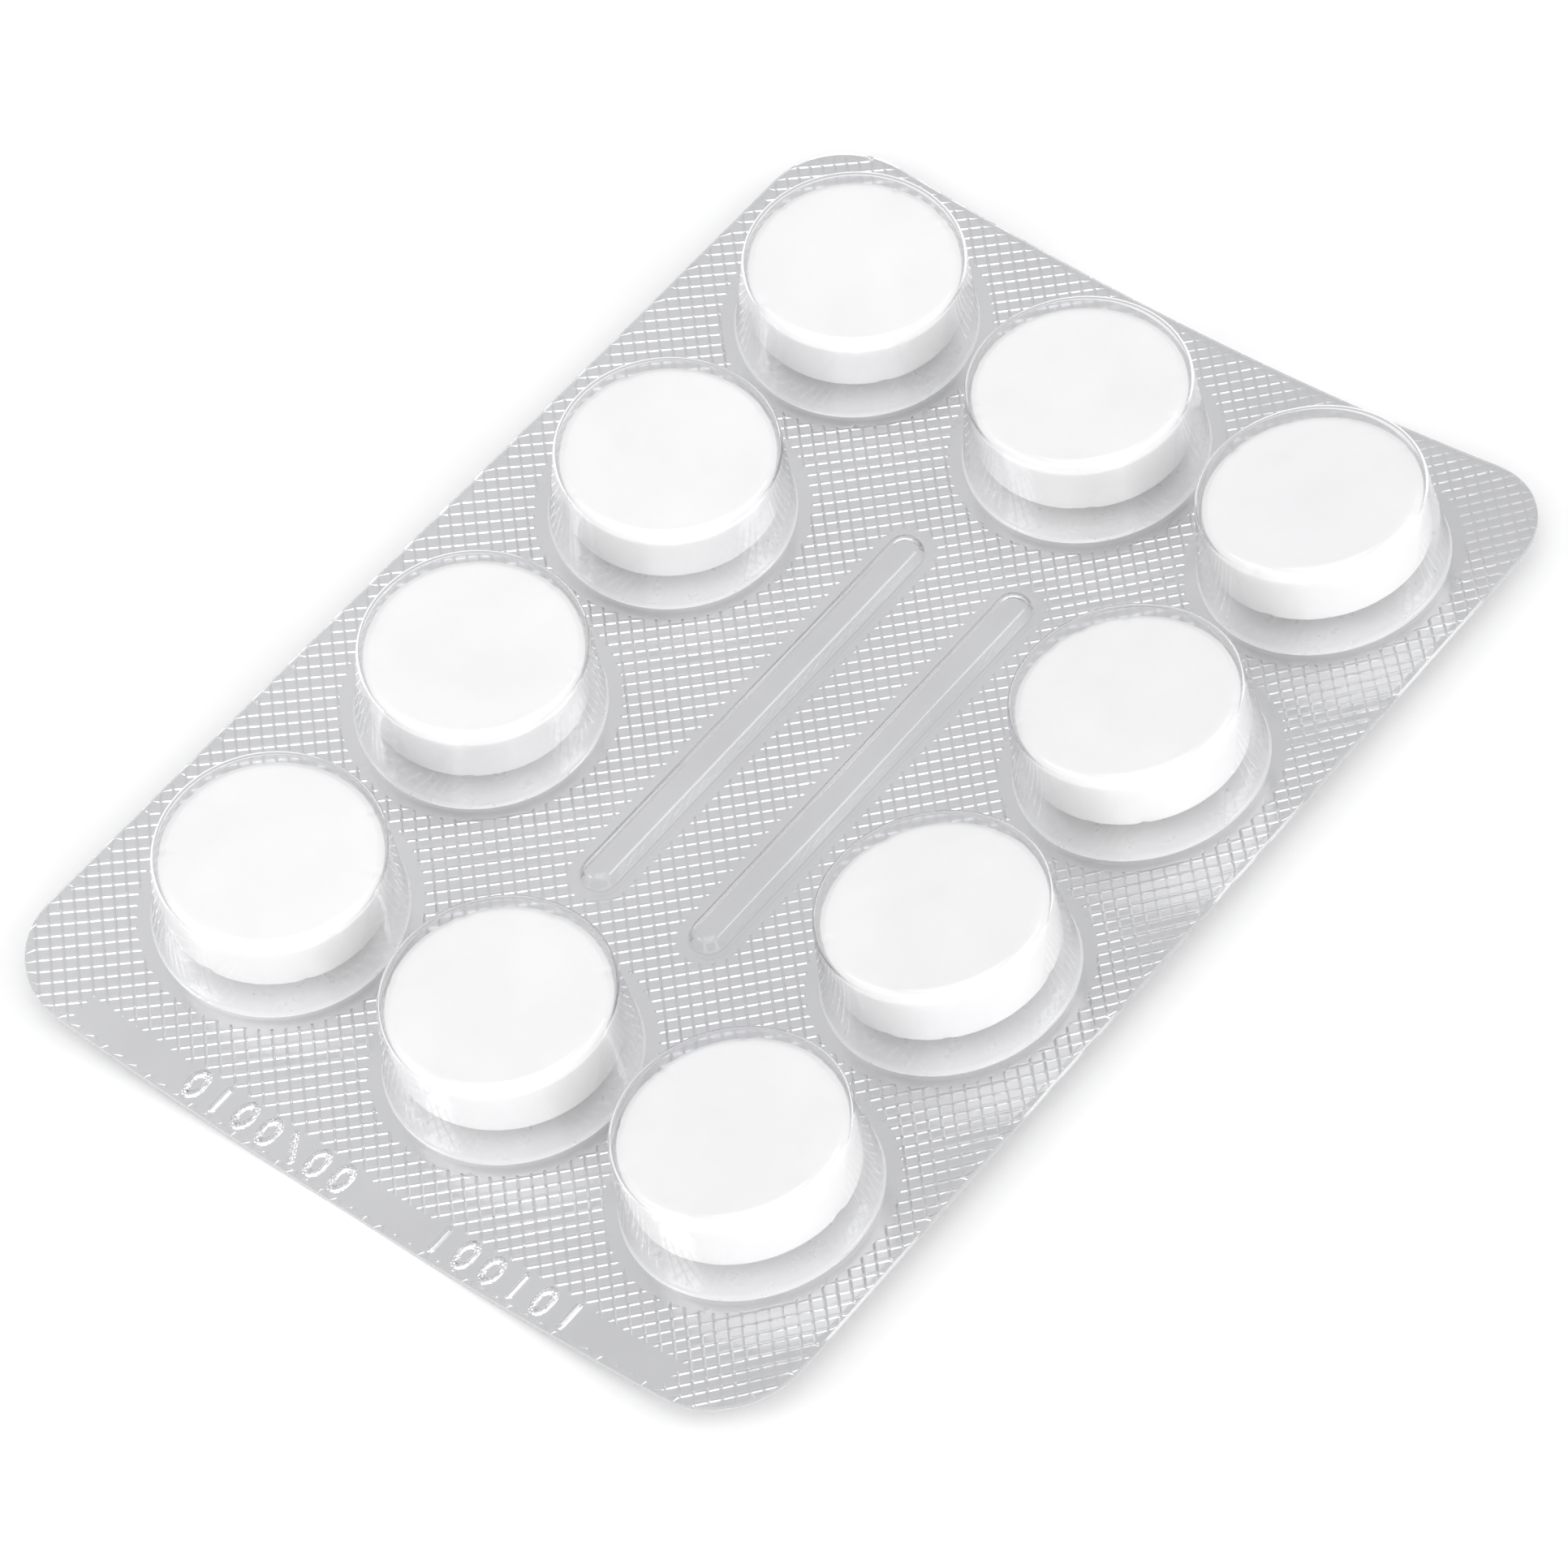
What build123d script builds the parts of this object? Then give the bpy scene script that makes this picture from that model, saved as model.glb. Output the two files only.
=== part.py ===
from build123d import *
import os
from math import cos, degrees, sin

# A pill blister pack: a clear formed film with ten round pockets and two
# stiffening ribs, sealed to an aluminium lidding foil, and one round white
# tablet in each pocket. The whole pack is curled gently about its long axis,
# so both long edges stand a little above the surface that it lies on.
# Sizes in millimetres: X runs along the pack, Y across it, Z up.

# Sealed sheet
pack_length = 72.0
pack_width = 51.5
corner_radius = 5.0
curl_radius = 158.0
foil_thickness = 0.03
film_thickness = 0.25

# Pockets: three rows along the pack, and the middle row has only its ends
pitch_x = 16.5
pitch_y = 16.2
grid_shift_x = 1.1
grid_shift_y = -0.25
pocket_foot_radius = 6.87
pocket_top_radius = 6.25
pocket_height = 6.05
pocket_wall = 0.2
pocket_edge_round = 0.6
foot_round = 0.3

# Tablets, standing off the foil near the tops of their pockets
tablet_radius = 6.04
tablet_thickness = 3.35
tablet_bevel_width = 0.4
tablet_bevel_height = 0.26
tablet_bottom = 1.85

# Ribs
rib_length = 28.4
rib_half_width = 1.05
rib_height = 0.75
rib_wall = 0.2
rib_offset = 3.75


def sheet(bottom, thickness):
    """A curled sheet with the pack's rounded outline, between two depths."""
    outer = curl_radius - bottom
    inner = outer - thickness
    ring = Plane.YZ * (Circle(outer) - Circle(inner))
    tube = extrude(ring, amount=pack_length, both=True)
    tube = Pos(0, 0, curl_radius) * tube
    blank = RectangleRounded(pack_length, pack_width, corner_radius)
    return tube & extrude(blank, amount=4.0 * pocket_height, both=True).solid()


def seat(x, arc):
    """A place on the foil's outer face, its Z pointing out of the sheet."""
    turn = arc / curl_radius
    y = curl_radius * sin(turn)
    z = curl_radius * (1.0 - cos(turn))
    return Pos(x, y, z) * Rot(degrees(turn), 0, 0)


def pocket(foot_radius, top_radius, height, edge_round):
    """A solid plug with a draft and a rounded top edge, for one pocket."""
    taper = (foot_radius - top_radius) / height
    low = foot_radius + taper * 1.0
    profile = Polyline((0, -1.0), (low, -1.0), (top_radius, height), (0, height), close=True)
    plug = revolve(Plane.XZ * make_face(profile), Axis.Z)
    return fillet(plug.edges().group_by(Axis.Z)[-1], edge_round)


def rib(half_width, height):
    """A long low plug with round ends, for one stiffening rib."""
    blank = SlotOverall(rib_length - 2.0 * (rib_half_width - half_width), 2.0 * half_width)
    plug = Pos(0, 0, -0.5) * extrude(blank, amount=height + 0.5)
    return fillet(plug.edges().group_by(Axis.Z)[-1], 0.6 * half_width)


def foot_edges(solid):
    """The edges where pockets and ribs rise out of the curled sheet."""
    found = []
    face_radius = curl_radius - foil_thickness - film_thickness
    centre = Vector(0, 0, curl_radius)
    for edge in solid.edges():
        reach = [(edge @ t - centre) for t in (0.1, 0.4, 0.7)]
        on_face = all(abs(Vector(0, v.Y, v.Z).length - face_radius) < 0.001 for v in reach)
        inside = all(abs(v.X) < 0.5 * pack_length - 1.0 for v in reach)
        clear = all(abs(v.Y) < 0.5 * pack_width - 0.5 for v in reach)
        if on_face and inside and clear:
            found.append(edge)
    return found


def tablet():
    """A flat round tablet with a bevel on both rims."""
    rim = tablet_radius - tablet_bevel_width
    low = tablet_bevel_height
    high = tablet_thickness - tablet_bevel_height
    profile = Polyline(
        (0, 0),
        (rim, 0),
        (tablet_radius, low),
        (tablet_radius, high),
        (rim, tablet_thickness),
        (0, tablet_thickness),
        close=True,
    )
    return revolve(Plane.XZ * make_face(profile), Axis.Z)


columns = [grid_shift_x + pitch_x * (i - 1.5) for i in range(4)]
rows = [grid_shift_y + pitch_y * (1 - j) for j in range(3)]
places = []
for row_number, row in enumerate(rows):
    for column_number, column in enumerate(columns):
        is_end = column_number in (0, 3)
        if row_number != 1 or is_end:
            places.append((column, row))

# Lidding foil
lidding_foil = sheet(0.0, foil_thickness)

# Formed film: the flat stock and the outer pocket shapes, less their insides.
# Everything is cut off at the film's sealed face.
film = sheet(foil_thickness, film_thickness)
outer_pocket = pocket(pocket_foot_radius, pocket_top_radius, pocket_height, pocket_edge_round)
inner_pocket = pocket(
    pocket_foot_radius - pocket_wall,
    pocket_top_radius - pocket_wall,
    pocket_height - pocket_wall,
    pocket_edge_round - pocket_wall,
)
outer_rib = rib(rib_half_width, rib_height + film_thickness)
inner_rib = rib(rib_half_width - rib_wall, rib_height + film_thickness - rib_wall)
rib_places = [(grid_shift_x, grid_shift_y + side * rib_offset) for side in (-1, 1)]
for column, row in places:
    film = film + seat(column, row) * outer_pocket
for column, row in rib_places:
    film = film + seat(column, row) * outer_rib
film = fillet(foot_edges(film), foot_round)
for column, row in places:
    film = film - seat(column, row) * inner_pocket
for column, row in rib_places:
    film = film - seat(column, row) * inner_rib
sealed_radius = curl_radius - foil_thickness
core = Plane.YZ * Circle(sealed_radius)
core = Pos(0, 0, curl_radius) * extrude(core, amount=pack_length, both=True)
blister_film = film & core

# Tablets
tablets = [seat(column, row) * Pos(0, 0, tablet_bottom) * tablet() for column, row in places]

os.makedirs("parts", exist_ok=True)
pieces = {"blister_film": blister_film, "lidding_foil": lidding_foil}
for number, piece in enumerate(tablets, start=1):
    pieces[f"tablet_{number:02d}"] = piece
for name, piece in pieces.items():
    solids = piece.solids()
    box = piece.bounding_box()
    print(name, len(solids), "solid", round(piece.volume, 2), "mm3", box.min, box.max)
    export_step(piece, f"parts/{name}.step")
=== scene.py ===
import math

import bpy
import numpy as np
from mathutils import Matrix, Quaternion, Vector
from mathutils.geometry import delaunay_2d_cdt


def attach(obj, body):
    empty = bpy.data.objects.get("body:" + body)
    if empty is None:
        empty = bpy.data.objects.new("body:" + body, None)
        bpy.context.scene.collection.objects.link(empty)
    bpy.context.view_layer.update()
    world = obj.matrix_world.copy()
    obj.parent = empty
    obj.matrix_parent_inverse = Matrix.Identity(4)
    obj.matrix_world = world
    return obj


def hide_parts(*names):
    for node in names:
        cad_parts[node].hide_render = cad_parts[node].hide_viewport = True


# A pill blister pack: the film and the foil are rebuilt with their sealing
# knurl, rings, ribs and coding strip, and the tablets with soft pressed edges.
# All lengths here are millimetres, in the CAD model's frame. `flat` points are
# (x, s): s runs across the pack along the curled sheet, and h is the height
# above the foil's outer face.

MM = 0.001

# The CAD model's sizes
PACK_LENGTH = 72.0
PACK_WIDTH = 51.5
CORNER_RADIUS = 5.0
CURL_RADIUS = 158.0
FOIL = 0.03
FILM = 0.25
PITCH_X = 16.5
PITCH_Y = 16.2
SHIFT_X = 1.1
SHIFT_Y = -0.25
FOOT_RADIUS = 6.87
TOP_RADIUS = 6.25
POCKET_HEIGHT = 6.05
WALL = 0.14
EDGE_ROUND = 0.6
FOOT_ROUND = 0.3
TABLET_RADIUS = 6.04
TABLET_THICKNESS = 3.35
TABLET_BOTTOM = 1.85
BEVEL_WIDTH = 0.4
BEVEL_HEIGHT = 0.26
RIB_LENGTH = 28.4
RIB_HALF = 1.05
RIB_HEIGHT = 0.75
RIB_OFFSET = 3.75

# The knurl: raised lines crossing at right angles, diagonal to the pack
KNURL_PITCH = 0.7071
KNURL_HALF = 0.088
KNURL_HEIGHT = 0.036
RING_RADIUS = 7.2
RING_CLEAR = 7.62
RING_SIDES = 96
RIB_FOOT = 1.32
RIB_CLEAR = 1.72
KNURL_FADE = 0.13

# The coding strip and the two rows of marks in it: low x, high x, low s, high s
SMOOTH_BOXES = (
    (-35.55, -33.85, -20.2, 20.2),
    (-35.59, -33.61, 1.3, 13.1),
    (-35.59, -33.61, -14.3, -3.7),
)

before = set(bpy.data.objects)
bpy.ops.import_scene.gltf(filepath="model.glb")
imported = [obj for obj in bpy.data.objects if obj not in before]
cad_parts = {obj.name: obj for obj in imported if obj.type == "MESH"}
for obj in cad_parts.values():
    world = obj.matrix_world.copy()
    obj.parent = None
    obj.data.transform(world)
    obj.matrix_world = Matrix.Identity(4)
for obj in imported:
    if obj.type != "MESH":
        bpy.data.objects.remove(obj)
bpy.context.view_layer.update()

columns = [SHIFT_X + PITCH_X * (i - 1.5) for i in range(4)]
rows = [SHIFT_Y + PITCH_Y * (1 - j) for j in range(3)]
pockets = [
    (columns[i], rows[j])
    for j in range(3)
    for i in range(4)
    if j != 1 or i in (0, 3)
]
ribs = [(SHIFT_X, SHIFT_Y + side * RIB_OFFSET) for side in (-1, 1)]


# ---------------------------------------------------------------- placing

def curl(x, s, h):
    """Flat points to the curled pack."""
    turn = np.asarray(s, float) / CURL_RADIUS
    reach = CURL_RADIUS - np.asarray(h, float)
    y = reach * np.sin(turn)
    z = CURL_RADIUS - reach * np.cos(turn)
    return np.stack([np.broadcast_to(x, y.shape), y, z], -1)


def seat(points, place):
    """Points of one straight-sided pocket to its seat on the curled pack."""
    turn = place[1] / CURL_RADIUS
    c, n = math.cos(turn), math.sin(turn)
    x = points[:, 0] + place[0]
    y = points[:, 1] * c - points[:, 2] * n + CURL_RADIUS * n
    z = points[:, 1] * n + points[:, 2] * c + CURL_RADIUS * (1.0 - c)
    return np.stack([x, y, z], -1)


def sag(y):
    """How far the curled sheet rises over a pocket's own level."""
    return CURL_RADIUS - np.sqrt(CURL_RADIUS ** 2 - np.asarray(y) ** 2)


# ---------------------------------------------------------------- meshes

def mesh_object(name, points, faces):
    mesh = bpy.data.meshes.new(name)
    mesh.from_pydata((np.asarray(points) * MM).tolist(), [], [tuple(int(i) for i in f) for f in faces])
    mesh.update()
    obj = bpy.data.objects.new(name, mesh)
    bpy.context.scene.collection.objects.link(obj)
    return obj


# ---------------------------------------------------------------- flat layout

def outline_loop():
    """The pack's rounded outline, anticlockwise, as flat points."""
    half_x = PACK_LENGTH / 2.0
    half_y = PACK_WIDTH / 2.0
    inner_x = half_x - CORNER_RADIUS
    inner_y = half_y - CORNER_RADIUS
    plan = []
    for quarter, (sx, sy) in enumerate(((1, -1), (1, 1), (-1, 1), (-1, -1))):
        start = math.radians(90.0 * quarter - 90.0)
        for k in range(15):
            a = start + math.radians(90.0) * k / 14.0
            x = sx * inner_x + CORNER_RADIUS * math.cos(a)
            y = sy * inner_y + CORNER_RADIUS * math.sin(a)
            plan.append((x, y))
    loop = []
    for a, b in zip(plan, plan[1:] + plan[:1]):
        steps = max(1, round(math.dist(a, b) / 0.75))
        for k in range(steps):
            t = k / steps
            loop.append((a[0] + (b[0] - a[0]) * t, a[1] + (b[1] - a[1]) * t))
    loop = np.array(loop)
    loop[:, 1] = CURL_RADIUS * np.arcsin(loop[:, 1] / CURL_RADIUS)
    return loop


def circle_loop(place, radius, sides=RING_SIDES):
    a = np.arange(sides) * 2.0 * math.pi / sides
    return np.stack([place[0] + radius * np.cos(a), place[1] + radius * np.sin(a)], 1)


def slot_loop(place, offset, straight=RIB_LENGTH / 2.0 - RIB_HALF, steps=28, turn_steps=14):
    """A loop round a rib's centre line. Point i faces point -i across it."""
    right = [(straight + offset * math.cos(a), offset * math.sin(a))
             for a in np.linspace(-math.pi / 2, math.pi / 2, turn_steps + 1)]
    left = [(-x, -y) for x, y in right]
    across = np.linspace(straight, -straight, steps + 1)[1:-1]
    top = [(x, offset) for x in across]
    bottom = [(-x, -offset) for x in across]
    points = np.array(right + top + left + bottom)
    points = np.roll(points, -(turn_steps // 2), axis=0)
    return points + np.array(place)


def slot_distance(x, s, place):
    straight = RIB_LENGTH / 2.0 - RIB_HALF
    return np.hypot(np.maximum(np.abs(x - place[0]) - straight, 0.0), s - place[1])


def room(x, s):
    """Distance into the knurl from its nearest smooth zone, minus inside one."""
    best = np.full(np.shape(x), 9.0)
    for place in pockets:
        best = np.minimum(best, np.hypot(x - place[0], s - place[1]) - RING_CLEAR)
    for place in ribs:
        best = np.minimum(best, slot_distance(x, s, place) - RIB_CLEAR)
    for low_x, high_x, low_s, high_s in SMOOTH_BOXES:
        across = np.abs(x - 0.5 * (low_x + high_x)) - 0.5 * (high_x - low_x)
        along = np.abs(s - 0.5 * (low_s + high_s)) - 0.5 * (high_s - low_s)
        best = np.minimum(best, np.maximum(across, along))
    return best


def crest(t):
    """One family of raised lines: 1 on a line's crest, 0 from its foot out."""
    off = np.abs((t + 0.5 * KNURL_PITCH) % KNURL_PITCH - 0.5 * KNURL_PITCH)
    return np.clip(1.0 - off / KNURL_HALF, 0.0, 1.0)


def relief_at(x, s):
    """The knurl's relief, fading out at the smooth zones."""
    u = (x + s) * math.sqrt(0.5)
    v = (x - s) * math.sqrt(0.5)
    lift = np.maximum(crest(u), crest(v)) - 0.6 * crest(u) * crest(v)
    return lift * np.clip(room(x, s) / KNURL_FADE, 0.0, 1.0)


def inside_outline(x, s, margin):
    y = CURL_RADIUS * np.sin(s / CURL_RADIUS)
    half_x = PACK_LENGTH / 2.0
    half_y = PACK_WIDTH / 2.0
    dx = np.maximum(np.abs(x) - (half_x - CORNER_RADIUS), 0.0)
    dy = np.maximum(np.abs(y) - (half_y - CORNER_RADIUS), 0.0)
    return np.hypot(dx, dy) < CORNER_RADIUS - margin


# Marks pressed into the coding strip: plain rings, bars and one slanted bar
MARK_X = -34.6
MARK_TALL = 0.72
MARK_WIDE = 0.42
MARK_STROKE = 0.17
MARK_RISE = 0.13
marks = [(2.15 + 1.68 * i, kind) for i, kind in enumerate("oo/oolo")]
marks += [(-13.4 + 1.76 * i, kind) for i, kind in enumerate("lolool")]


def mark_height(x, s):
    """Height of the pressed marks at flat points."""
    best = np.full(x.shape, 9.0)
    for middle, kind in marks:
        dx = x - MARK_X
        ds = s - middle
        if kind == "o":
            reach = np.hypot(dx / MARK_TALL, ds / MARK_WIDE)
            best = np.minimum(best, np.abs(reach - 1.0) * 0.5 * (MARK_TALL + MARK_WIDE) * 0.85)
        else:
            lean = 0.45 if kind == "/" else 0.0
            along = np.clip(dx / MARK_TALL, -1.0, 1.0)
            best = np.minimum(best, np.hypot(dx - along * MARK_TALL, ds - along * lean))
    rise = np.clip(1.0 - best / MARK_STROKE, 0.0, 1.0)
    return MARK_RISE * rise * rise * (3.0 - 2.0 * rise)


def lattice_points():
    """The knurl's own points: three across each line, both ways."""
    count = int(70.0 / KNURL_PITCH)
    line = np.arange(-count, count + 1) * KNURL_PITCH
    across = (line[:, None] + np.array([-KNURL_HALF, 0.0, KNURL_HALF])).ravel()
    u, v = np.meshgrid(across, across)
    return np.stack([((u + v) * math.sqrt(0.5)).ravel(), ((u - v) * math.sqrt(0.5)).ravel()], 1)


def line_end_points():
    """Points that close each raised line off where it meets a smooth zone."""
    count = int(70.0 / KNURL_PITCH)
    line = np.arange(-count, count + 1) * KNURL_PITCH
    step = 0.02
    along = np.arange(-46.0, 46.0, step)
    u, v = np.meshgrid(line, along, indexing="ij")
    found = []
    for side in (1.0, -1.0):
        x = (u + v) * math.sqrt(0.5)
        s = (u - v) * math.sqrt(0.5) * side
        inside = room(x, s) > 0.0
        row, place = np.nonzero(inside[:, 1:] != inside[:, :-1])
        inward = np.where(inside[row, place + 1], 1.0, -1.0)
        for back in (0.0, KNURL_FADE):
            for offset in (-KNURL_HALF, 0.0, KNURL_HALF):
                end_u = line[row] + offset
                end_v = along[place] + 0.5 * step + inward * back
                end_x = (end_u + end_v) * math.sqrt(0.5)
                end_s = (end_u - end_v) * math.sqrt(0.5) * side
                found.append(np.stack([end_x, end_s], 1))
    return np.vstack(found)


def mark_grid():
    """A fine grid under the marks and a coarse one along the coding strip."""
    grid = []
    for low, high in ((1.36, 13.04), (-14.24, -3.76)):
        gx, gs = np.meshgrid(np.arange(MARK_X - 0.92, MARK_X + 0.93, 0.115), np.arange(low, high, 0.115))
        grid.append(np.stack([gx.ravel(), gs.ravel()], 1))
    for s_here in np.arange(-20.2, 20.3, 1.01):
        if not (1.0 < s_here < 13.4 or -14.6 < s_here < -3.4):
            grid.append(np.array([[-35.1, s_here], [-34.3, s_here]]))
    return np.vstack(grid)


def flat_layout(knurled, ends):
    """A triangulated sheet, with its relief, holes at the pockets and ribs,
    and the loops round those holes and the outline."""
    points, loops, edges = [], {}, []

    def add_loop(name, loop):
        first = len(points)
        points.extend(loop.tolist())
        loops[name] = list(range(first, first + len(loop)))
        edges.extend((first + k, first + (k + 1) % len(loop)) for k in range(len(loop)))

    add_loop("outline", outline_loop())
    for number, place in enumerate(pockets):
        add_loop(f"pocket_{number}", circle_loop(place, RING_RADIUS))
    for number, place in enumerate(ribs):
        add_loop(f"rib_{number}", slot_loop(place, RIB_FOOT))

    extra = []
    if knurled:
        extra.append(lattice_points())
    else:
        gx, gs = np.meshgrid(np.arange(-35.0, 35.1, 2.0), np.arange(-25.0, 25.1, 2.0))
        extra.append(np.stack([gx.ravel(), gs.ravel()], 1))
        extra.append(outline_loop() * np.array([1.0 - 0.4 / 36.0, 1.0 - 0.4 / 25.75]))
    if ends:
        extra.append(line_end_points())
    extra = np.vstack(extra)
    keep = inside_outline(extra[:, 0], extra[:, 1], 0.07) & (room(extra[:, 0], extra[:, 1]) > -0.02)
    extra = extra[keep]
    rings = np.vstack([
        circle_loop(place, 0.5 * (RING_RADIUS + RING_CLEAR), RING_SIDES // 2) for place in pockets])
    rings = rings[inside_outline(rings[:, 0], rings[:, 1], 0.1)]

    every = np.vstack([np.array(points), extra, mark_grid(), rings])
    out_points, _, faces, origin, _, _ = delaunay_2d_cdt(
        [Vector(p) for p in every.tolist()], edges, [], 0, 1e-4)
    flat = np.array([(p.x, p.y) for p in out_points])
    source = {}
    for index, old in enumerate(origin):
        for o in old:
            source[o] = index
    loops = {name: np.array([source[i] for i in loop]) for name, loop in loops.items()}
    tri = np.array([f for f in faces])
    middle = flat[tri].mean(1)
    hole = np.zeros(len(tri), bool)
    for place in pockets:
        hole |= np.hypot(middle[:, 0] - place[0], middle[:, 1] - place[1]) < RING_RADIUS - 0.01
    for place in ribs:
        hole |= slot_distance(middle[:, 0], middle[:, 1], place) < RIB_FOOT - 0.01
    tri = tri[~hole]
    a, b, c = flat[tri[:, 0]], flat[tri[:, 1]], flat[tri[:, 2]]
    turn = (b[:, 0] - a[:, 0]) * (c[:, 1] - a[:, 1]) - (b[:, 1] - a[:, 1]) * (c[:, 0] - a[:, 0])
    tri = tri[np.abs(turn) > 1e-9]
    turn = turn[np.abs(turn) > 1e-9]
    tri[turn < 0] = tri[turn < 0][:, ::-1]
    return Layout(flat, tri, loops, knurled)


class Layout:
    """A flat sheet's points, triangles and loops, and how its relief rises."""

    def __init__(self, flat, triangles, loops, knurled):
        self.x, self.s = flat[:, 0], flat[:, 1]
        self.triangles = triangles
        self.loops = loops
        lift = relief_at(self.x, self.s)
        self.marks = mark_height(self.x, self.s)
        self.marks[(self.x > -33.0) | (lift > 0)] = 0.0
        strength = 0.8 + 0.35 * soft_noise(self.x, self.s, 11.0, 3)
        strength *= 0.9 + 0.2 * soft_noise(self.x, self.s, 0.9, 5)
        self.knurl = KNURL_HEIGHT * lift * strength * float(knurled)


def soft_noise(x, s, size, seed):
    """Smooth noise from 0 to 1, made of a few slow waves."""
    local = np.random.default_rng(seed)
    total = np.zeros(np.shape(x))
    for _ in range(9):
        angle, phase = local.uniform(0, 2 * math.pi, 2)
        wave = 2 * math.pi / (size * local.uniform(0.6, 1.7))
        total += np.sin(wave * (x * math.cos(angle) + s * math.sin(angle)) + phase)
    return np.clip(0.5 + total / 9.0, 0.0, 1.0)


class Shell:
    """Points and faces gathered into one mesh."""

    def __init__(self):
        self.points = []
        self.faces = []
        self.count = 0
        self.facets = 0

    def add(self, points):
        """Adds points and returns their numbers."""
        first = self.count
        self.points.append(points)
        self.count += len(points)
        return np.arange(first, self.count)

    def put(self, face, under=False):
        """Adds one face, turned over on the pack's under side."""
        self.faces.append(tuple(face[::-1]) if under else tuple(face))

    def bridge(self, low, high, under=False):
        """Quads between two loops of the same length."""
        for k in range(len(low)):
            n = (k + 1) % len(low)
            self.put((low[k], low[n], high[n], high[k]), under)

    def cap(self, loop, middle, under=False):
        """A fan from a loop to one middle point."""
        for k in range(len(loop)):
            self.put((loop[k], loop[(k + 1) % len(loop)], middle), under)

    def zip_slot(self, loop, under=False):
        """Closes a long narrow loop whose point i faces point -i."""
        count = len(loop)
        for k in range(count // 2):
            near, far = (count - k) % count, (count - k - 1) % count
            ring = []
            for i in (k, k + 1, far, near):
                if loop[i] not in ring:
                    ring.append(loop[i])
            if len(ring) > 2:
                self.put(ring, under)

    def build(self, name, inner_slot_from=None):
        """Makes the object. The first `facets` faces keep their crisp edges."""
        obj = mesh_object(name, np.vstack(self.points), self.faces)
        smooth = [k >= self.facets for k in range(len(self.faces))]
        obj.data.polygons.foreach_set("use_smooth", smooth)
        if inner_slot_from is not None:
            slots = [int(k >= inner_slot_from) for k in range(len(self.faces))]
            obj.data.polygons.foreach_set("material_index", slots)
        return obj


# ---------------------------------------------------------------- film and foil

# Room between film and foil inside the pack and at its cut edge
GAP = 0.07
EDGE_GAP = 0.008
# Share of the foil's knurl that shows on the film
FILM_RELIEF = 0.5
POCKET_CROWN = 0.05
FLOOR_RINGS = (6.6, 5.6, 4.2, 2.4)
FLOOR_WAVE = 0.05
RIB_FLOOR_OFFSETS = (0.9, 0.45, 0.12)
raised = flat_layout(True, True)
raised_below = flat_layout(True, False)
plain_below = flat_layout(False, False)


def arc(middle, radius, start, end, steps):
    a = np.radians(np.linspace(start, end, steps + 1))
    return [(middle[0] + radius * math.cos(t), middle[1] + radius * math.sin(t)) for t in a]


def pocket_profile(foot, top, height, base, foot_round, edge_round, crown):
    """Radius and height along one side of a pocket, from the sheet to its top."""
    taper = (foot - top) / height
    lean = math.degrees(math.atan(taper))
    cos_lean = math.cos(math.radians(lean))
    foot_z = base + foot_round
    foot_r = foot - taper * foot_z + foot_round / cos_lean
    edge_z = height - edge_round
    edge_r = foot - taper * edge_z - edge_round / cos_lean
    line = arc((foot_r, foot_z), foot_round, 270, 180 + lean, 5)
    low, high = line[-1], (edge_r + edge_round * cos_lean, edge_z + edge_round * math.sin(math.radians(lean)))
    for t in (0.2, 0.4, 0.6, 0.8):
        line.append((low[0] + (high[0] - low[0]) * t, low[1] + (high[1] - low[1]) * t))
    line += arc((edge_r, edge_z), edge_round, lean, 90, 7)
    for t in (0.8, 0.5, 0.2):
        line.append((edge_r * t, height + crown * (1.0 - t * t)))
    return line, height + crown


def pocket_side(shell, loop, place, profile, peak, base, under):
    """Raises one side of one pocket from the sheet's hole."""
    angle = np.arange(RING_SIDES) * 2.0 * math.pi / RING_SIDES
    last = loop
    for r, z in profile:
        px, py = r * np.cos(angle), r * np.sin(angle)
        follow = np.clip(1.0 - (z - base) / 2.5, 0.0, 1.0)
        ring = shell.add(seat(np.stack([px, py, z + sag(py) * follow], 1), place))
        shell.bridge(last, ring, under)
        last = ring
    middle = shell.add(seat(np.array([[0.0, 0.0, peak]]), place))
    shell.cap(last, middle[0], under)


def rib_side(shell, loop, place, profile, under):
    """Raises one side of one rib from the sheet's hole."""
    last = loop
    for offset, z in profile:
        outline = slot_loop(place, offset)
        ring = shell.add(curl(outline[:, 0], outline[:, 1], z))
        shell.bridge(last, ring, under)
        last = ring
    shell.zip_slot(last, under)


def sheet_side(shell, layout, h, under):
    """One side of the sealed sheet. Returns the numbers of its points."""
    numbers = shell.add(curl(layout.x, layout.s, h))
    for tri in layout.triangles:
        shell.put(tuple(numbers[tri]), under)
    return numbers


def floor_wave(x, s, fade):
    """How far the unsealed foil bulges under a pocket."""
    return FLOOR_WAVE * (soft_noise(x, s, 6.0, 11) - 0.35) * fade


def edge_wall(shell, top, bottom):
    """The cut edge, between two loops of points."""
    for k in range(len(top)):
        n = (k + 1) % len(top)
        shell.put((bottom[k], bottom[n], top[n], top[k]))


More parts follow.
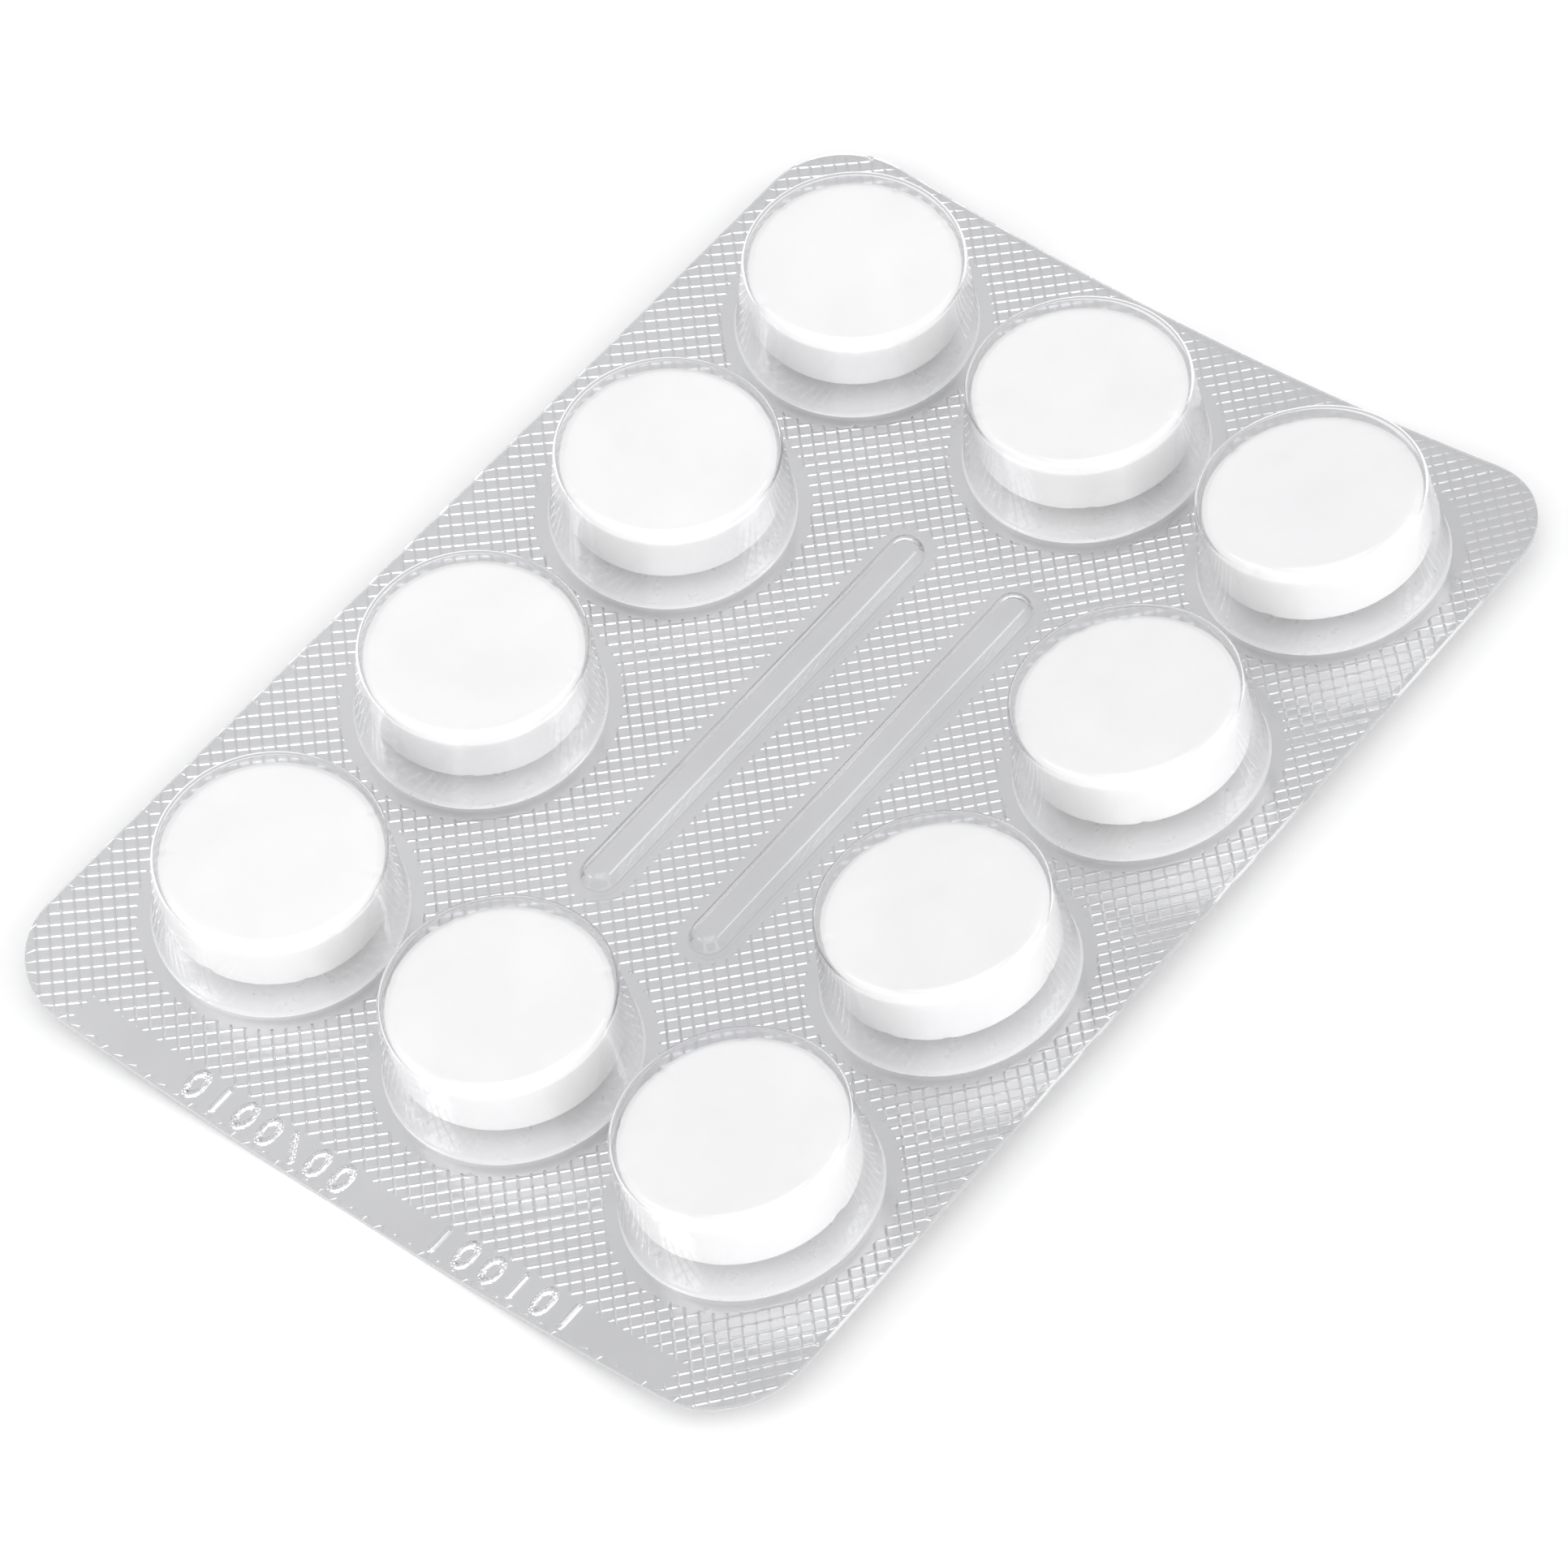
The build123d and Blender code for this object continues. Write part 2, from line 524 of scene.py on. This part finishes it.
film_shell = Shell()
film_top = sheet_side(film_shell, raised, FOIL + FILM + FILM_RELIEF * raised.knurl + raised.marks, False)
under_film = FOIL + GAP + plain_below.marks
under_film[plain_below.loops["outline"]] = FOIL + EDGE_GAP
film_low = sheet_side(film_shell, plain_below, under_film, True)
film_shell.facets = len(film_shell.faces)
film_rims = [film_top[raised.loops["outline"]], film_low[plain_below.loops["outline"]]]
edge_wall(film_shell, *film_rims)
outer, outer_peak = pocket_profile(
    FOOT_RADIUS, TOP_RADIUS, POCKET_HEIGHT,
    FOIL + FILM, FOOT_ROUND, EDGE_ROUND, POCKET_CROWN)
inner, inner_peak = pocket_profile(
    FOOT_RADIUS - WALL, TOP_RADIUS - WALL, POCKET_HEIGHT - WALL,
    FOIL + GAP, FOOT_ROUND + WALL, EDGE_ROUND - WALL, POCKET_CROWN)
for number, place in enumerate(pockets):
    name = f"pocket_{number}"
    pocket_side(film_shell, film_top[raised.loops[name]], place, outer, outer_peak, FOIL + FILM, False)
    low_loop = film_low[plain_below.loops[name]]
    pocket_side(film_shell, low_loop, place, inner, inner_peak, FOIL + GAP, True)
rib_top = FILM + RIB_HEIGHT
rib_round = 0.6 * RIB_HALF
outer_rib = arc((RIB_HALF + 0.22, FOIL + FILM + 0.22), 0.22, 270, 215, 3)
outer_rib += arc((RIB_HALF - rib_round, rib_top - rib_round), rib_round, 35, 90, 5)
outer_rib += [(0.12, rib_top + 0.01)]
inner_half = RIB_HALF - WALL
inner_top = rib_top - WALL
inner_round = 0.6 * inner_half
inner_rib = arc((inner_half + 0.1, FOIL + GAP + 0.1), 0.1, 270, 215, 2)
inner_rib += arc((inner_half - inner_round, inner_top - inner_round), inner_round, 35, 90, 5)
inner_rib += [(0.12, inner_top)]
for number, place in enumerate(ribs):
    name = f"rib_{number}"
    rib_side(film_shell, film_top[raised.loops[name]], place, outer_rib, False)
    rib_side(film_shell, film_low[plain_below.loops[name]], place, inner_rib, True)
film = film_shell.build("clear_film")

foil_shell = Shell()
foil_top = sheet_side(foil_shell, raised, FOIL + raised.knurl + raised.marks, False)
foil_low = sheet_side(foil_shell, raised_below, raised_below.knurl + raised_below.marks, True)
foil_shell.facets = len(foil_shell.faces)
foil_rims = [foil_top[raised.loops["outline"]], foil_low[raised_below.loops["outline"]]]
edge_wall(foil_shell, *foil_rims)
foil_sides = ((foil_top, raised, FOIL, False), (foil_low, raised_below, 0.0, True))
for number, place in enumerate(ribs):
    for side, layout, base, under in foil_sides:
        last = side[layout.loops[f"rib_{number}"]]
        for offset in RIB_FLOOR_OFFSETS:
            outline = slot_loop(place, offset)
            ring = foil_shell.add(curl(outline[:, 0], outline[:, 1], base))
            foil_shell.bridge(last, ring, under)
            last = ring
        foil_shell.zip_slot(last, under)
angle = np.arange(RING_SIDES) * 2.0 * math.pi / RING_SIDES
feet = {}
for number, place in enumerate(pockets):
    for side, layout, base, under in foil_sides:
        px, py = FOOT_RADIUS * np.cos(angle), FOOT_RADIUS * np.sin(angle)
        feet[number, under] = foil_shell.add(curl(place[0] + px, place[1] + py, base))
        foil_shell.bridge(side[layout.loops[f"pocket_{number}"]], feet[number, under], under)
unsealed_from = len(foil_shell.faces)
for number, place in enumerate(pockets):
    for side, layout, base, under in foil_sides:
        last = feet[number, under]
        for r in FLOOR_RINGS:
            px, py = r * np.cos(angle), r * np.sin(angle)
            wave = floor_wave(place[0] + px, place[1] + py, min(1.0, (RING_RADIUS - r) / 1.5))
            ring = foil_shell.add(curl(place[0] + px, place[1] + py, base + wave))
            foil_shell.bridge(last, ring, under)
            last = ring
        wave = floor_wave(np.array([place[0]]), np.array([place[1]]), 1.0)
        middle = foil_shell.add(curl(np.array([place[0]]), np.array([place[1]]), base + wave))
        foil_shell.cap(last, middle[0], under)
foil = foil_shell.build("lidding_sheet", unsealed_from)


def keep_flats(obj, rims):
    """Marks the cut edge sharp and lets the larger faces lead the shading."""
    mesh = obj.data
    pairs = set()
    for rim in rims:
        for k in range(len(rim)):
            pairs.add(tuple(sorted((int(rim[k]), int(rim[(k + 1) % len(rim)])))))
    for edge in mesh.edges:
        if tuple(sorted(edge.vertices)) in pairs:
            edge.use_edge_sharp = True
    modifier = obj.modifiers.new("flats", "WEIGHTED_NORMAL")
    modifier.mode = "FACE_AREA"
    modifier.keep_sharp = True


keep_flats(film, film_rims)
keep_flats(foil, foil_rims)


# ---------------------------------------------------------------- tablets

TABLET_SIDES = 168
CHIPS = 14


def tablet_mesh(name, place, seed):
    """A pressed tablet: flat faces, soft bevels and a few small edge chips."""
    local = np.random.default_rng(seed)
    rim_r = TABLET_RADIUS - BEVEL_WIDTH
    low = BEVEL_HEIGHT
    high = TABLET_THICKNESS - BEVEL_HEIGHT
    line = [(r, 0.0) for r in (1.2, 2.6, 3.8, 4.8, 5.3)]
    line += [(rim_r - 0.06, 0.0), (rim_r + 0.02, 0.02), (rim_r + 0.14, 0.085), (rim_r + 0.26, 0.165),
             (rim_r + 0.36, 0.235), (TABLET_RADIUS - 0.012, low + 0.03), (TABLET_RADIUS, low + 0.12)]
    line += [(TABLET_RADIUS, low + (high - low) * t) for t in (0.2, 0.4, 0.6, 0.8)]
    line += [(r, TABLET_THICKNESS - z) for r, z in reversed(line[:12])]
    angle = np.arange(TABLET_SIDES) * 2.0 * math.pi / TABLET_SIDES
    r = np.array([p[0] for p in line])[:, None]
    z = np.array([p[1] for p in line])[:, None]
    rough = np.zeros((len(line), TABLET_SIDES))
    for order in range(3, 60):
        amount = 0.011 / order ** 0.35
        phase = local.uniform(0, 2 * math.pi)
        rough += amount * local.uniform(-1, 1) * np.sin(order * angle + phase)
    near_rim = np.exp(-((r - (TABLET_RADIUS - 0.22)) / 0.2) ** 2)
    bite = np.zeros((len(line), TABLET_SIDES))
    for _ in range(CHIPS):
        where = local.uniform(0, 2 * math.pi)
        width = local.uniform(0.015, 0.06)
        depth = local.uniform(0.03, 0.12)
        level = TABLET_THICKNESS if local.uniform() < 0.65 else 0.0
        gap = (angle - where + math.pi) % (2 * math.pi) - math.pi
        fall = np.clip(1.0 - (np.abs(z - level) / 0.55) ** 2, 0.0, 1.0)
        near_edge = np.clip((r - 4.9) / 0.6, 0.0, 1.0)
        bite = np.maximum(bite, depth * np.exp(-(gap / width) ** 2) * fall * near_edge)
    radius = r - np.abs(rough) * 1.3 * near_rim - bite
    height = z + np.where(z > TABLET_THICKNESS / 2, -0.4, 0.4) * bite
    px = radius * np.cos(angle)
    py = radius * np.sin(angle)
    pz = height + TABLET_BOTTOM
    lean = np.radians(local.uniform(-0.35, 0.35, 2))
    pz = pz + px * lean[0] + py * lean[1]
    shell = Shell()
    rings = [shell.add(seat(np.stack([px[k], py[k], pz[k]], 1), place)) for k in range(len(line))]
    bottom = shell.add(seat(np.array([[0.0, 0.0, TABLET_BOTTOM]]), place))
    top = shell.add(seat(np.array([[0.0, 0.0, TABLET_BOTTOM + TABLET_THICKNESS]]), place))
    shell.cap(rings[0], bottom[0], True)
    for a, b in zip(rings, rings[1:]):
        shell.bridge(a, b)
    shell.cap(rings[-1], top[0])
    return shell.build(name)


tablets = [tablet_mesh(f"pressed_tablet_{k + 1:02d}", place, 40 + k) for k, place in enumerate(pockets)]


# ---------------------------------------------------------------- materials

def new_material(name):
    material = bpy.data.materials.new(name)
    material.use_nodes = True
    tree = material.node_tree
    tree.nodes.clear()
    output = tree.nodes.new("ShaderNodeOutputMaterial")
    return material, tree, output


def node(tree, kind, inputs=None, **settings):
    made = tree.nodes.new(kind)
    for key, value in settings.items():
        setattr(made, key, value)
    for key, value in (inputs or {}).items():
        made.inputs[key].default_value = value
    return made


def noise(tree, coords, scale, detail=3.0, rough=0.55):
    made = node(tree, "ShaderNodeTexNoise", {"Scale": scale, "Detail": detail, "Roughness": rough})
    tree.links.new(coords, made.inputs["Vector"])
    return made.outputs["Fac"]


def span(tree, value, low, high, from_low=0.0, from_high=1.0):
    """Maps value from its own range to low..high."""
    made = node(tree, "ShaderNodeMapRange", {
        "From Min": from_low, "From Max": from_high, "To Min": low, "To Max": high})
    tree.links.new(value, made.inputs["Value"])
    return made.outputs["Result"]


def ramp(tree, value, stops):
    made = node(tree, "ShaderNodeValToRGB")
    bar = made.color_ramp
    while len(bar.elements) < len(stops):
        bar.elements.new(0.5)
    for element, (place, color) in zip(bar.elements, stops):
        element.position = place
        element.color = (*color, 1.0)
    tree.links.new(value, made.inputs["Fac"])
    return made.outputs["Color"]


def bump(tree, height, distance, strength=1.0, base=None):
    made = node(tree, "ShaderNodeBump", {"Distance": distance, "Strength": strength})
    tree.links.new(height, made.inputs["Height"])
    if base is not None:
        tree.links.new(base, made.inputs["Normal"])
    return made.outputs["Normal"]


def foil_material(name, metal, tint, roughness, wave_strength):
    """Rolled aluminium: sealed under the film, or bare lacquer in a pocket."""
    material, tree, output = new_material(name)
    coords = node(tree, "ShaderNodeTexCoord").outputs["Object"]
    slow = noise(tree, coords, 110.0, 2.0)
    fine = noise(tree, coords, 900.0, 4.0)
    stretch = node(tree, "ShaderNodeMapping", {"Scale": (60.0, 4000.0, 4000.0)})
    tree.links.new(coords, stretch.inputs["Vector"])
    rolled = noise(tree, stretch.outputs["Vector"], 1.0, 2.0)
    shader = node(tree, "ShaderNodeBsdfPrincipled", {"Metallic": metal, "Anisotropic": 0.2})
    color = ramp(tree, slow, [(0.3, tint), (0.7, (0.91, 0.91, 0.915))])
    tree.links.new(color, shader.inputs["Base Color"])
    rough = span(tree, fine, roughness - 0.05, roughness + 0.06, 0.3, 0.7)
    tree.links.new(rough, shader.inputs["Roughness"])
    waves = bump(tree, slow, 0.0004, wave_strength)
    grain = bump(tree, fine, 0.000010, 0.5, waves)
    lines = bump(tree, rolled, 0.000003, 0.5, grain)
    tree.links.new(lines, shader.inputs["Normal"])
    tree.links.new(shader.outputs["BSDF"], output.inputs["Surface"])
    return material


def film_material():
    """Clear film. Lamps and bounced light go straight through it."""
    material, tree, output = new_material("clear_film")
    coords = node(tree, "ShaderNodeTexCoord").outputs["Object"]
    slow = noise(tree, coords, 140.0, 2.0)
    fine = noise(tree, coords, 1500.0, 3.0)
    drawn = node(tree, "ShaderNodeMapping", {"Scale": (90.0, 1400.0, 1400.0)})
    tree.links.new(coords, drawn.inputs["Vector"])
    streaks = noise(tree, drawn.outputs["Vector"], 1.0, 2.0)
    ripple = bump(tree, slow, 0.00008, 0.3)
    ripple = bump(tree, streaks, 0.00001, 0.3, ripple)
    ripple = bump(tree, fine, 0.000003, 0.2, ripple)
    glass = node(tree, "ShaderNodeBsdfGlass", {"IOR": 1.5})
    color = ramp(tree, slow, [(0.3, (0.985, 0.985, 0.99)), (0.7, (0.995, 0.995, 0.995))])
    tree.links.new(color, glass.inputs["Color"])
    tree.links.new(span(tree, fine, 0.04, 0.09, 0.3, 0.7), glass.inputs["Roughness"])
    tree.links.new(ripple, glass.inputs["Normal"])
    clear = node(tree, "ShaderNodeBsdfTransparent", {"Color": (0.97, 0.97, 0.972, 1.0)})
    path = node(tree, "ShaderNodeLightPath")
    mirrored = node(tree, "ShaderNodeMath", operation="SUBTRACT")
    tree.links.new(path.outputs["Is Glossy Ray"], mirrored.inputs[0])
    tree.links.new(path.outputs["Is Transmission Ray"], mirrored.inputs[1])
    bounced = node(tree, "ShaderNodeMath", operation="MAXIMUM")
    tree.links.new(path.outputs["Is Diffuse Ray"], bounced.inputs[0])
    tree.links.new(mirrored.outputs["Value"], bounced.inputs[1])
    lamp = node(tree, "ShaderNodeMath", operation="MAXIMUM")
    tree.links.new(path.outputs["Is Shadow Ray"], lamp.inputs[0])
    tree.links.new(bounced.outputs["Value"], lamp.inputs[1])
    mix = node(tree, "ShaderNodeMixShader")
    tree.links.new(lamp.outputs["Value"], mix.inputs["Fac"])
    tree.links.new(glass.outputs["BSDF"], mix.inputs[1])
    tree.links.new(clear.outputs["BSDF"], mix.inputs[2])
    tree.links.new(mix.outputs["Shader"], output.inputs["Surface"])
    return material


def tablet_material():
    material, tree, output = new_material("pressed_powder")
    coords = node(tree, "ShaderNodeTexCoord").outputs["Object"]
    patch = noise(tree, coords, 260.0, 3.0)
    grain = noise(tree, coords, 3600.0, 4.0, 0.7)
    pits = noise(tree, coords, 1300.0, 3.0, 0.6)
    shader = node(tree, "ShaderNodeBsdfPrincipled", {"IOR": 1.45, "Specular IOR Level": 0.25})
    color = ramp(tree, patch, [(0.3, (0.89, 0.888, 0.882)), (0.7, (0.925, 0.923, 0.918))])
    tree.links.new(color, shader.inputs["Base Color"])
    tree.links.new(span(tree, grain, 0.7, 0.95), shader.inputs["Roughness"])
    coarse = bump(tree, pits, 0.00004, 0.5)
    tree.links.new(bump(tree, grain, 0.00002, 0.6, coarse), shader.inputs["Normal"])
    tree.links.new(shader.outputs["BSDF"], output.inputs["Surface"])
    return material


def floor_material():
    material, tree, output = new_material("pale_floor")
    coords = node(tree, "ShaderNodeTexCoord").outputs["Object"]
    shader = node(tree, "ShaderNodeBsdfPrincipled", {"Roughness": 0.9, "Specular IOR Level": 0.1})
    patch = noise(tree, coords, 6.0, 2.0)
    color = ramp(tree, patch, [(0.3, (0.955, 0.955, 0.955)), (0.7, (0.965, 0.965, 0.965))])
    tree.links.new(color, shader.inputs["Base Color"])
    tree.links.new(shader.outputs["BSDF"], output.inputs["Surface"])
    return material


def dress(obj, material, nodes):
    obj.data.materials.append(material)
    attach(obj, "root")
    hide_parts(*nodes)


dress(film, film_material(), ["blister_film"])
dress(foil, foil_material("sealed_aluminium", 1.0, (0.85, 0.85, 0.86), 0.17, 0.3), ["lidding_foil"])
foil.data.materials.append(foil_material("lacquered_aluminium", 0.2, (0.93, 0.93, 0.93), 0.3, 0.2))
powder = tablet_material()
for number, tablet in enumerate(tablets, start=1):
    dress(tablet, powder, [f"tablet_{number:02d}"])


# ---------------------------------------------------------------- studio

bpy.ops.mesh.primitive_grid_add(x_subdivisions=4, y_subdivisions=4, size=6.0, location=(0, 0, -0.00002))
floor = bpy.context.object
floor.name = "floor"
floor.data.materials.append(floor_material())


def soft_box(name, place, aim, width, power):
    data = bpy.data.lights.new(name, "AREA")
    data.shape = "DISK"
    data.size = width
    data.energy = power
    light = bpy.data.objects.new(name, data)
    light.location = place
    light.rotation_euler = (Vector(aim) - Vector(place)).to_track_quat("-Z", "Y").to_euler()
    bpy.context.scene.collection.objects.link(light)
    return light


soft_box("overhead", (-0.16, -0.17, 0.8), (0, 0, 0), 0.7, 1.0)
soft_box("left", (-0.6, 0.3, 0.5), (0, 0, 0), 0.34, 0.7)
soft_box("right", (0.3, -0.6, 0.5), (0, 0, 0), 0.34, 0.7)

# A white tent: brighter above and in front, dimmer low down and behind
world = bpy.data.worlds.new("studio")
bpy.context.scene.world = world
world.use_nodes = True
sky = world.node_tree
direction = node(sky, "ShaderNodeTexCoord").outputs["Generated"]
split = node(sky, "ShaderNodeSeparateXYZ")
sky.links.new(direction, split.inputs["Vector"])
height = ramp(sky, split.outputs["Z"], [
    (0.0, (0.68, 0.68, 0.685)), (0.25, (0.74, 0.74, 0.745)), (0.6, (0.73, 0.732, 0.74)),
    (0.85, (0.85, 0.852, 0.857)), (1.0, (0.9, 0.9, 0.905))])
front = node(sky, "ShaderNodeVectorMath", {1: (-0.55, -0.6, 0.2)}, operation="DOT_PRODUCT")
sky.links.new(direction, front.inputs[0])
frontal = span(sky, front.outputs["Value"], 0.0, 1.15, 0.2, 0.9)
total = node(sky, "ShaderNodeVectorMath", operation="ADD")
sky.links.new(height, total.inputs[0])
sky.links.new(frontal, total.inputs[1])
background = sky.nodes["Background"]
sky.links.new(total.outputs["Vector"], background.inputs["Color"])
background.inputs["Strength"].default_value = 0.88

# The camera, fitted to the view: place in metres and turn
CAMERA_LENS = 142.455
CAMERA_PLACE = (-0.141936, -0.152539, 0.258549)
CAMERA_TURN = (0.842288, 0.318016, -0.090659, -0.425674)

camera_data = bpy.data.cameras.new("camera")
camera_data.sensor_width = 36.0
camera_data.lens = CAMERA_LENS
camera_data.clip_start = 0.01
camera_data.clip_end = 10.0
camera = bpy.data.objects.new("camera", camera_data)
camera.location = CAMERA_PLACE
camera.rotation_mode = "QUATERNION"
camera.rotation_quaternion = Quaternion(CAMERA_TURN)
bpy.context.scene.collection.objects.link(camera)
bpy.context.scene.camera = camera

scene = bpy.context.scene
scene.view_settings.view_transform = "Standard"
scene.view_settings.look = "None"
scene.cycles.transparent_max_bounces = 16
scene.cycles.max_bounces = 9
scene.cycles.transmission_bounces = 8
scene.cycles.glossy_bounces = 3
scene.cycles.diffuse_bounces = 3

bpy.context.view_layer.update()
